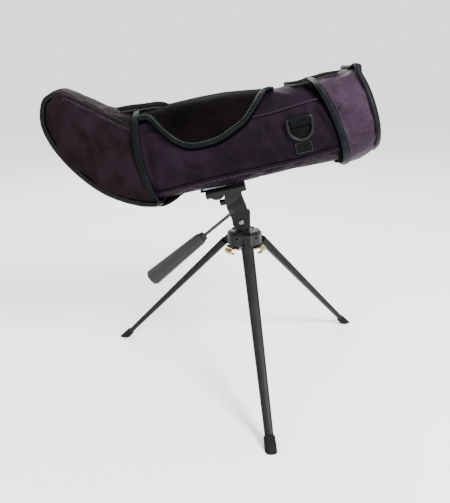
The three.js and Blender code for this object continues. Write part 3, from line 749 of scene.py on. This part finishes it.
def make_sleeve_trim():
    body = "scope_and_platform"
    for far in (False, True):
        side = "far" if far else "near"
        path, normal = along_case(-79, 148, LOW_SEAM, 0.4, far)
        sweep(f"low_seam_{side}", path, normal, 2.0, 1.2, "plum", body)
        below = path + np.array([0, 0, -2.6])
        stitches(f"low_seam_stitches_{side}", below, normal, "thread_light", body,
                 lift=-0.1)
        start = -76 if far else 36
        path, normal = along_case(start, 148, HIGH_SEAM, 0.5, far)
        sweep(f"high_seam_{side}", path, normal, 2.2, 1.5, "seam", body)
    u0, u1, half = FOOT_HOLE
    hole = np.array([[u0, -half, 0.9], [u1, -half, 0.9], [u1, half, 0.9], [u0, half, 0.9]])
    hole = smooth_corners(hole, 4)
    sweep("foot_hole_binding", hole, np.tile([0, 0, -1.0], (len(hole), 1)), 4.5, 1.6, "binding", body,
          closed=True)
    # the loop half of the front strap's fastening, sewn on the top
    steps = 16
    us = np.linspace(92, 116, steps)
    ts = np.linspace(TOP_T - 0.075, TOP_T + 0.075, steps)
    patch = np.array([[case_point(u, t, 0.9) for t in ts] for u in us])
    velcro = build("velcro_patch", patch.reshape(-1, 3), grid_faces(steps, steps), "velcro", body)
    thicken(velcro, 1.0, 1.0)
    subdivide(velcro, 1)


def smooth_corners(corners, steps):
    """A closed outline with many points on its straight sides."""
    line = []
    for k in range(len(corners)):
        a, b = corners[k], corners[(k + 1) % len(corners)]
        line += [a + (b - a) * (i + 0.5) / (steps * 3) for i in range(steps * 3)]
    return np.array(line)


# ------------------------------------------------------------------ front cover
# u, low, high, half width, lean and bow of the front cover's sections
COVER_SECTIONS = np.array([[127.2, -2.6, 91.8, 48.6, -0.21, -0.0019],
                           [138, -2.0, 91.0, 49.0, -0.19, -0.0020],
                           [150, 0.0, 90.8, 49.2, -0.16, -0.0021],
                           [160, 3.0, 92.6, 49.0, -0.135, -0.0022],
                           [168, 7.2, 94.6, 48.0, -0.11, -0.0024]])
COVER_REAR, COVER_FRONT = 127.2, 168
COVER_RINGS = 12
END_RINGS = 11
END_BULGE = 5.0
COVER_FOLDS = [((150, 74), (168, 66), 3.0, 1.2), ((134, 52), (142, 24), 3.5, -1.2),
               ((150, 30), (170, 20), 4.0, 1.3), ((158, 58), (172, 40), 3.2, -1.0)]


def cover_point(u, t, shrink=1.0, out=0.0):
    y, v = ring(t)
    low, high, half, lean, bow = (np.interp(u, COVER_SECTIONS[:, 0], column)
                                  for column in COVER_SECTIONS[:, 1:].T)
    dz = v * ((high - low) / 2 + out) * shrink
    return np.stack([u + lean * dz + bow * dz * dz, y * (half + out) * shrink, (low + high) / 2 + dz], -1)


def make_front_cover():
    body = "front_cover"
    ts = np.linspace(0, 1, 84, endpoint=False)
    rings = [cover_point(u, ts) for u in np.linspace(COVER_REAR, COVER_FRONT, COVER_RINGS)]
    for k in range(1, END_RINGS):
        share = k / END_RINGS
        bulge = END_BULGE * (1 - (1 - share) ** 2)
        rings.append(cover_point(COVER_FRONT + bulge, ts, 1 - share))
    points = np.array(rings)
    rows = len(points)
    side_rows = np.arange(rows) < COVER_RINGS
    push = 0.8 * uneven(points, 24.0, 21.0) + 0.4 * uneven(points, 10.0, 27.0)
    near = points[..., 1] < -CASE_HALF * 0.8
    for start, end, width, depth in COVER_FOLDS:
        push += fold(points, start, end, width, depth) * near
    push[0] = push[COVER_RINGS - 1] = 0
    points[side_rows] += (case_normal(ts)[None] * push[..., None])[side_rows]
    faces = grid_faces(rows, len(ts), close_columns=True)
    faces.append(tuple((rows - 1) * len(ts) + k for k in range(len(ts))))
    cover = build("front_cover_cloth", points.reshape(-1, 3), faces, "cover", body)
    index = np.arange(rows * len(ts)).reshape(rows, len(ts))
    puff(cover, sorted(set(index[[0, 1, COVER_RINGS - 1]].ravel()) | set(index[-1])), out=2.4, back=1.2)
    thicken(cover, 2.4)
    subdivide(cover, 2)
    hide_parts("case_front_cover")
    make_cover_trim()


def make_cover_trim():
    body = "front_cover"
    ts = np.linspace(0, 1, 160, endpoint=False)
    normal = case_normal(ts)
    # both cover bindings use the lighter binding colour, a painted highlight
    sweep("cover_rim_binding", cover_point(128.6, ts, out=0.6), normal, 6.8, 3.6, "binding_painted_highlight", body,
          closed=True)
    stitches("cover_rim_stitches", cover_point(133.4, ts, out=0.9), normal, "thread_dark", body)
    lip = unit(normal + np.array([0.45, 0, 0]))
    near_lump = 4.2 * np.exp(-((ts - near_t(0.95)) / 0.022) ** 2)
    lump = near_lump + 2.2 * np.exp(-((ts - far_t(0.95)) / 0.022) ** 2)
    edge = cover_point(166.6, ts, out=0.4) + (normal * 0.85 + np.array([0.7, 0, 0])) * lump[:, None]
    sweep("cover_front_binding", edge, lip, 6.4 + 0.4 * lump, 3.8, "binding_painted_highlight", body,
          closed=True)
    # painted shadow: a near-black band laid just outside the sleeve behind the front cover's rim, standing in
    # for the shade in the gap between cover and sleeve; wider at the top and bottom
    depth = 4.0 + 5.0 * np.clip(ring(ts)[1], 0, 1) ** 3 + 6.0 * np.clip(-ring(ts)[1] - 0.5, 0, 1)
    rim_u = cover_point(COVER_REAR, ts)[:, 0]
    painted_shadow_band = np.array([case_point(rim_u - depth * (1 - k / 3) + 5.0 * k / 3, ts, 2.3 + 0.35 * k)
                      for k in range(4)])
    painted_shadow = build("cover_rim_painted_shadow", painted_shadow_band.reshape(-1, 3), grid_faces(4, len(ts), close_columns=True), "painted_shadow",
                   body)
    thicken(painted_shadow, 0.8)
    strap = smooth_line([(152, 0, 91.4), (147, 0, 92.8), (140, 0, 93.6), (132, 0, 94.2), (123.5, 0, 93.8),
                         (114, 0, 93.4), (105, 0, 92.6), (97, 0, 92.8), (89.5, 0, 93.8)], 40)
    make_strap("front_cover_strap_cloth", strap, (-0.1, 0, 1.0), 23.0, 3.2, body, "front_cover_strap")


def make_strap(name, path, up, half, droop, body, node):
    """A hook-and-loop strap with rounded ends, drooping sides and a bound edge."""
    up = unit(np.array(up, float))
    along = tangents(path, False)
    across = unit(np.cross(along, up))
    run = np.concatenate([[0], np.cumsum(np.linalg.norm(np.diff(path, axis=0), axis=1))])
    reach = np.minimum(run, run[-1] - run)
    wide = half * np.maximum(np.sqrt(1 - (1 - np.clip(reach / 9.0, 0, 1)) ** 2), 0.3)
    s = np.linspace(-1, 1, 15)
    dip = droop * np.abs(s) ** 2.2
    sideways = across[:, None] * (s[None] * wide[:, None])[..., None]
    points = path[:, None] + sideways - up * dip[None, :, None]
    strap = build(name, points.reshape(-1, 3), grid_faces(len(path), len(s)), "flap", body)
    thicken(strap, 2.0, 0.0)
    subdivide(strap, 1)
    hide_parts(node)
    edge = np.vstack([points[:, 0], points[-1, 1:-1], points[::-1, -1], points[0, -2:0:-1]])
    edge = smooth_line(edge[::2], 110, closed=True)
    sweep(f"{name}_binding", edge, np.tile(up, (len(edge), 1)), 3.6, 2.9, "binding_dark", body, closed=True,
          count=12)


# ------------------------------------------------------------------ eyepiece hood
# (u, v) of the top seam, the toe and the bottom edge
HOOD_TOP = [(-70, 88.5), (-79.3, 94.0), (-88, 99.6), (-99.3, 107.4), (-108, 114.2), (-117, 121.4),
            (-125.5, 127.8), (-134.5, 134.6), (-142, 139.6)]
HOOD_TOE = [(-142, 139.6), (-147.5, 140.8), (-153.6, 139.2), (-158.1, 136.6), (-161.2, 132.8),
            (-164.2, 126.1), (-166.4, 118.7), (-167.6, 110.9)]
HOOD_LOW = [(-70, 3.4), (-75, 4.2), (-86, 7.6), (-97, 12.6), (-106.2, 17.3), (-119, 25.6), (-129.1, 34.2),
            (-138.8, 45.0), (-146.4, 55.3), (-152.7, 65.2), (-157.8, 74.9), (-161.9, 84.3), (-165.0, 93.5),
            (-166.9, 102.4), (-167.6, 110.9)]
HOOD_TOP_HALF = [(-150, 20), (-134, 24), (-108, 26), (-99, 28), (-88, 33), (-79, 37), (-70, 40.5)]
HOOD_CROWN = [(-140, 1.2), (-108, 1.8), (-99, 3.4), (-88, 7.0), (-79, 10.4), (-70, 13.2)]


HOOD_HALF = 47.2
HOOD_TAPER, TAPER_START, TAPER_LENGTH = 0.2, -100, 68
HOOD_ROWS, HOOD_COLUMNS = 30, 28
HOOD_STRIPS = 20
RIM_U, RIM_BOW, RIM_LOW, RIM_TALL = -70, 7.0, 3.4, 85


def along_table(u, table):
    return np.interp(u, [row[0] for row in table], [row[1] for row in table])


def hood_taper(u):
    return 1 - HOOD_TAPER * np.clip((TAPER_START - u) / TAPER_LENGTH, 0, 1)


def rim_bow(share):
    """How far the open edge is bowed back at a share of its height."""
    return RIM_BOW * np.sin(np.pi * np.clip(0.06 + 0.8 * share, 0, 1)) ** 0.9


def hood_half(u, b):
    """Half the hood's width at u, from its bottom edge (b = 0) to its top seam (b = 1)."""
    base = HOOD_HALF * hood_taper(u)
    share = b ** 2.2
    return base * (1 - share) + along_table(u, HOOD_TOP_HALF) * share


def hood_patch():
    """A patch of (u, v) bounded by the hood's rim, top seam, toe and bottom."""
    low = smooth_line(HOOD_LOW, HOOD_ROWS)
    top = smooth_line(HOOD_TOP, HOOD_ROWS)
    toe = smooth_line(HOOD_TOE[::-1], HOOD_COLUMNS)
    b = np.linspace(0, 1, HOOD_COLUMNS)
    rim = np.stack([RIM_U - rim_bow(b), low[0, 1] + (top[0, 1] - low[0, 1]) * b], 1)
    fade = np.linspace(1, 0, HOOD_ROWS) ** 4
    low[:, 0] += (rim[0, 0] - low[0, 0]) * fade
    top[:, 0] += (rim[-1, 0] - top[0, 0]) * fade
    a = np.linspace(0, 1, HOOD_ROWS)[:, None, None]
    bb = b[None, :, None]
    ruled = low[:, None] * (1 - bb) + top[:, None] * bb
    sides = rim[None] * (1 - a) + toe[None] * a
    corners = (1 - a) * ((1 - bb) * low[0] + bb * top[0]) + a * ((1 - bb) * low[-1] + bb * top[-1])
    return ruled + sides - corners


HOOD_FOLDS = [((-142, 108), (-124, 74), 7.0, -2.6), ((-120, 100), (-113, 66), 4.0, -1.3),
              ((-130, 86), (-134, 62), 3.0, 1.0), ((-100, 84), (-93, 40), 5.0, -0.9),
              ((-150, 74), (-120, 46), 6.0, 0.8), ((-108, 104), (-96, 84), 3.5, 0.8)]


def make_hood():
    body = "hood"
    patch = hood_patch()
    rows, columns = HOOD_ROWS, HOOD_COLUMNS
    a = np.linspace(0, 1, rows)[:, None]
    b = np.linspace(0, 1, columns)[None, :]
    edge = (1 - np.abs(2 * b - 1) ** 7) ** 0.5 * (1 - a ** 9) ** 0.5
    points, faces, index = [], [], {}
    for side in (-1, 1):
        u, v = patch[..., 0], patch[..., 1]
        half = hood_half(u, np.broadcast_to(b, u.shape))
        panel = np.stack([u, side * (half - 1.6 + 2.4 * edge), v], -1)
        push = 0.9 * uneven(panel, 30.0, 40.0 + side) + 0.4 * uneven(panel, 12.0, 50.0 + side)
        for start, end, width, depth in HOOD_FOLDS:
            push += 1.5 * fold(panel, start, end, width, depth)
        panel[..., 1] += side * push * edge
        index[side] = len(points) + np.arange(rows * columns).reshape(rows, columns)
        faces += grid_faces(rows, columns, first=len(points))
        points += list(panel.reshape(-1, 3))
    border = {side: np.concatenate([index[side][:, -1], index[side][-1, -2:0:-1], index[side][::-1, 0]])
              for side in (-1, 1)}
    near, far = (np.array([points[i] for i in border[side]]) for side in (-1, 1))
    outward = hood_outward(near)
    on_top = np.arange(len(near)) < rows
    rise = np.where(on_top, along_table(near[:, 0], HOOD_CROWN), 1.8)
    lift = np.where(on_top[:, None], np.array([0, 0, 1.0]), outward)
    previous = border[-1]
    for k in range(1, HOOD_STRIPS + 1):
        share = k / HOOD_STRIPS
        row = border[1]
        if k < HOOD_STRIPS:
            crown = (1 - np.abs(2 * share - 1) ** 2.8) ** 0.6
            line = near * (1 - share) + far * share + lift * (rise * crown)[:, None]
            row = len(points) + np.arange(len(line))
            points += list(line)
        for i in range(len(previous) - 1):
            faces.append((previous[i], previous[i + 1], row[i + 1], row[i]))
        previous = row
    hood = build("eyepiece_hood_cloth", points, faces, "hood", body)
    pinned = set(border[-1]) | set(border[1]) | set(index[-1][0]) | set(index[1][0])
    puff(hood, sorted(pinned), out=2.2, back=1.8)
    thicken(hood, 2.6)
    subdivide(hood, 2)
    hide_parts("eyepiece_hood")
    make_hood_trim(near, far)


def hood_outward(path):
    outward = unit(np.cross(tangents(path, False) * np.array([1, 0, 1]), np.array([0, 1.0, 0])))
    return outward * np.sign(outward[len(path) // 4, 2] + 1e-9)


def make_hood_trim(near, far):
    body = "hood"
    for side, name, border in ((-1, "near", near), (1, "far", far)):
        path = smooth_line(border, 170)
        outward = hood_outward(path)
        facing = unit(np.array([0, side, 0]) + outward * 0.35)
        sweep(f"hood_piping_{name}", path - outward * 2.6 + np.array([0, side * 1.1, 0]), facing, 5.0, 3.2,
              "binding_dark", body, count=14)
        # painted shadow: a thin near-black line inside the piping where the seam's groove lies in shade
        sweep(f"hood_groove_painted_shadow_{name}", path - outward * 5.6 + np.array([0, side * 1.9, 0]), facing, 1.6, 1.2,
              "painted_shadow", body, count=10)
        top = smooth_line(border[:HOOD_ROWS], 80)
        down = hood_outward(top)
        flat = np.tile([0, side * 1.0, 0.2], (len(top), 1))
        for k, (drop, size) in enumerate(((4.4, 0.36), (6.0, 0.24))):
            widen = 0.026 * drop * (47 * hood_taper(top[:, 0]) - along_table(top[:, 0], HOOD_TOP_HALF))
            line = top - down * drop
            line[:, 1] += side * (3.4 + widen)
            stitches(f"hood_top_stitches_{name}_{k}", line[3:], flat[3:], "thread_light", body,
                     pitch=2.8, length=2.2, radius=size)
    rim = hood_rim()
    outward = unit((rim - np.array([0, 0, 50.0])) * np.array([0, 1, 1]))
    sweep("hood_rim_binding", rim, outward, 7.4, 3.8, "binding", body, closed=True)
    top = smooth_line([(-94, 0, 109.6), (-84.7, 0, 109.2), (-76, 0, 108.6), (-67.3, 0, 107.4),
                       (-58.6, 0, 106.6), (-50, 0, 105.7), (-43, 0, 103.8), (-39, 0, 101.2)], 36)
    make_strap("hood_top_strap_cloth", top, (0.08, 0, 1.0), 18.0, 5.2, body, "hood_top_strap")
    low = smooth_line([(-92, 0, 7.4), (-84, 0, 4.0), (-77, 0, -1.2), (-70, 0, -3.8), (-61, 0, -2.2),
                       (-54, 0, 0.4), (-48, 0, 2.4)], 32)
    make_strap("hood_bottom_strap_cloth", low, (0.25, 0, -1.0), 16.0, 1.5, body, "hood_bottom_strap")


def hood_rim():
    """The hood's open edge as a closed loop, bowed back at the middle of each side."""
    a = np.linspace(0, 2 * np.pi, 170, endpoint=False)
    shape = 2 / np.where(np.sin(a) < 0, 5.0, 3.4)
    y = np.sign(np.cos(a)) * np.abs(np.cos(a)) ** shape
    v = np.sign(np.sin(a)) * np.abs(np.sin(a)) ** shape
    level = 51.2 + v * np.where(v > 0, 50.6, 49.6)
    bow = rim_bow((level - RIM_LOW) / RIM_TALL)
    return smooth_line(np.stack([RIM_U - bow, y * 47.6, level], 1), 190, closed=True)


# ------------------------------------------------------------------ top flap
FLAP_EDGE = [(-71, 94), (-60, 93.4), (-54, 89.6), (-45, 77.7), (-35, 67), (-26, 61), (-14, 58.4), (0, 58.6),
             (10, 60), (20, 63.6), (35.5, 70), (48.4, 79.8), (58, 87.6), (66, 91.6), (71.5, 93)]
FLAP_STEPS = 34
NOTCH_U, NOTCH_HALF = -34.5, 16.5


def make_flap():
    body = "flap"
    edge = smooth_line(FLAP_EDGE, 64)
    us, vs = edge[:, 0], edge[:, 1]
    hinge_t = TOP_T - (near_t(0.97) - TOP_T) * 0.62
    columns = []
    for u, v in zip(us, vs):
        edge_t = float(near_t(min(side_height(u, v - 1.6), 0.985)))
        columns.append(case_point(u, np.linspace(hinge_t, edge_t, FLAP_STEPS), 1.5))
    points = np.array(columns)
    normals = unit((points - np.array([0, 0, 48])) * np.array([0, 1, 1]))
    share = np.linspace(0, 1, FLAP_STEPS)
    rise = 0.5 + 2.0 * share ** 3 + np.clip(0.8 * uneven(points, 30.0, 70.0), -0.5, 0.8)
    tip = 1.5 * np.exp(-((us - us[-1]) / 5.0) ** 2)[:, None] * share ** 4
    points = points + normals * (rise + tip)[..., None]
    flat = points.reshape(-1, 3)
    keep = []
    for face in grid_faces(len(us), FLAP_STEPS):
        u, y, v = flat[list(face)].mean(0)
        if u > NOTCH_U or abs(y) > NOTCH_HALF or v < 85:
            keep.append(face)
    flap = build("top_flap_cloth", flat, keep, "flap", body)
    thicken(flap, 2.0, 0.0)
    subdivide(flap, 2)
    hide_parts("case_top_flap")
    make_flap_trim(points, normals)


def make_flap_trim(points, normals):
    body = "flap"
    sweep("flap_binding", points[:, -1], normals[:, -1], 6.6, 3.2, "binding", body,
          round_ends=2.0)
    spacing = np.linalg.norm(points[:, -1] - points[:, -2], axis=1)[:, None]
    inner = points[:, -1] + (points[:, -2] - points[:, -1]) / spacing * 1.7 + normals[:, -1] * 2.0
    stitches("flap_stitches", inner, normals[:, -1], "thread_dark", body, pitch=3.0,
             length=2.1, radius=0.45)
    sweep("flap_front_binding", points[-1, ::-1], normals[-1, ::-1], 6.0, 3.2, "binding", body,
          round_ends=2.0)
    # painted shadow: a near-black strip on the sleeve just below the flap's edge, standing in for the shade
    # under the flap
    under = points[:, -1] - (points[:, -2] - points[:, -1]) / spacing * 3.6 - normals[:, -1] * 1.9
    sweep("flap_edge_painted_shadow", under, normals[:, -1], 4.2, 1.0, "painted_shadow", body,
          round_ends=2.0)
    hinge = points[:, 0] + normals[:, 0] * 0.4
    sweep("flap_hinge_seam", hinge, normals[:, 0], 5.0, 2.2, "binding", body,
          round_ends=1.0)


# ------------------------------------------------------------------ D-rings and webbing
D_RING_U, D_RING_V, D_RING_OUT = 91.0, 59.8, 50.6
D_RING_WIDTH, D_RING_DROP, WIRE = 28.0, 23.0, 3.0
WEBBING_WIDTH, WEBBING_THICK = 20.0, 1.7
TACK_HALF = 8.2


def make_ring(side, name):
    half = D_RING_WIDTH / 2 - WIRE / 2
    straight = D_RING_DROP - D_RING_WIDTH / 2
    u, v = D_RING_U, D_RING_V
    arc = [(u + half * math.cos(a), v - straight + half * math.sin(a))
           for a in np.radians(np.linspace(180, 360, 15))]
    line = [(u - half + 1.6, v), (u - half, v - 1.8), *arc, (u + half, v - 1.8), (u + half - 1.6, v), (u, v)]
    loop = smooth_line([(uu, side * D_RING_OUT, vv) for uu, vv in line], 90, closed=True)
    ring_piece = sweep(f"d_ring_{name}_moulding", loop, np.tile([0, side * 1.0, 0], (len(loop), 1)), WIRE,
                       WIRE, "plastic", f"{name}_ring", closed=True, power=2.6, count=14)
    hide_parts(f"d_ring_{name}")


def make_ring_webbing(side, name):
    """A tape folded over the D-ring's bar and tacked to the sleeve with a box of stitches."""
    body = "scope_and_platform"
    y, v = D_RING_OUT, D_RING_V
    turn = [(side * (y + 3.25 * math.cos(a)), v + 3.25 * math.sin(a))
            for a in np.radians(np.linspace(-60, 180, 12))]
    down = [(side * 47.5, v - 3), (side * 47.5, v - 12), (side * 47.5, v - 22), (side * 47.3, v - 30),
            (side * 47.0, v - 37)]
    front = [(side * (y + 1.2), v - 4.6), (side * 49.4, v - 8)]
    path = smooth_line([(D_RING_U, yy, vv) for yy, vv in front[::-1] + turn + down], 60)
    normal = np.cross(tangents(path, False), np.array([1.0, 0, 0]))
    web = sweep(f"ring_webbing_{name}_tape", path, normal, WEBBING_WIDTH, WEBBING_THICK, "webbing", body,
                power=8.0, count=20)
    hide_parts(f"ring_webbing_{name}")
    left, right = D_RING_U - TACK_HALF, D_RING_U + TACK_HALF
    box = [(left, v - 25), (right, v - 25), (right, v - 35), (left, v - 35)]
    outline = smooth_corners(np.array([(uu, side * 48.3, vv) for uu, vv in box]), 3)
    outline = np.vstack([outline, outline[:1]])
    stitches(f"ring_webbing_{name}_stitches", outline, np.tile([0, side * 1.0, 0], (len(outline), 1)),
             "thread_dark", body, pitch=2.6, length=1.9, lift=0.0)


# ------------------------------------------------------------------ CAD nodes that stay
FINISH = {
    "paint": ("hub_body", "pan_base", "upright_bracket"),
    "leg": ("front_leg", "right_leg", "left_leg", "neck_bracket"),
    "brass": ("leg_stop_plate",),
    "steel": ("front_leg_pin", "right_leg_pin", "left_leg_pin", "pan_bolt", "tilt_bolt", "tilt_nut",
              "camera_screw", "focus_guide_pin"),
    "rod": ("handle_rod",),
    "alloy": ("scope_foot", "prism_clamp", "focus_carriage"),
    "plastic": ("platform_boss", "platform_clamp_screw", "platform_plate", "camera_screw_wheel",
                "handle_collar", "eyepiece_cap"),
    "grip": ("handle_grip",),
    "rubber": ("front_foot", "right_foot", "left_foot", "platform_pad", "focus_ring", "zoom_ring", "eyecup",
               "objective_cap"),
    "scope": ("main_tube", "objective_cell", "lens_retaining_ring", "rear_housing_left",
              "rear_housing_right", "eyepiece_barrel", "sunshade"),
    "glass": ("objective_flint_lens", "objective_crown_lens", "prism_block", "eyepiece_field_lens",
              "eyepiece_eye_lens", "focus_lens"),
}


def finish_cad_nodes():
    pairs = [(name, material) for material, names in FINISH.items() for name in names]
    for name, material in pairs:
        obj = NODES[name]
        obj.data.materials.clear()
        obj.data.materials.append(MATERIALS[material])
        obj.data.shade_smooth()
        add_modifier(obj, "WELD", merge_threshold=0.00002)
        add_modifier(obj, "BEVEL", width=0.00045, segments=3, limit_method="ANGLE",
                     angle_limit=math.radians(32), harden_normals=False)
        add_modifier(obj, "WEIGHTED_NORMAL", keep_sharp=False, weight=60)


make_camera()
make_materials()
make_studio()
finish_cad_nodes()
make_sleeve()
make_front_cover()
make_hood()
make_flap()
for side, name in ((-1, "near"), (1, "far")):
    make_ring(side, name)
    make_ring_webbing(side, name)
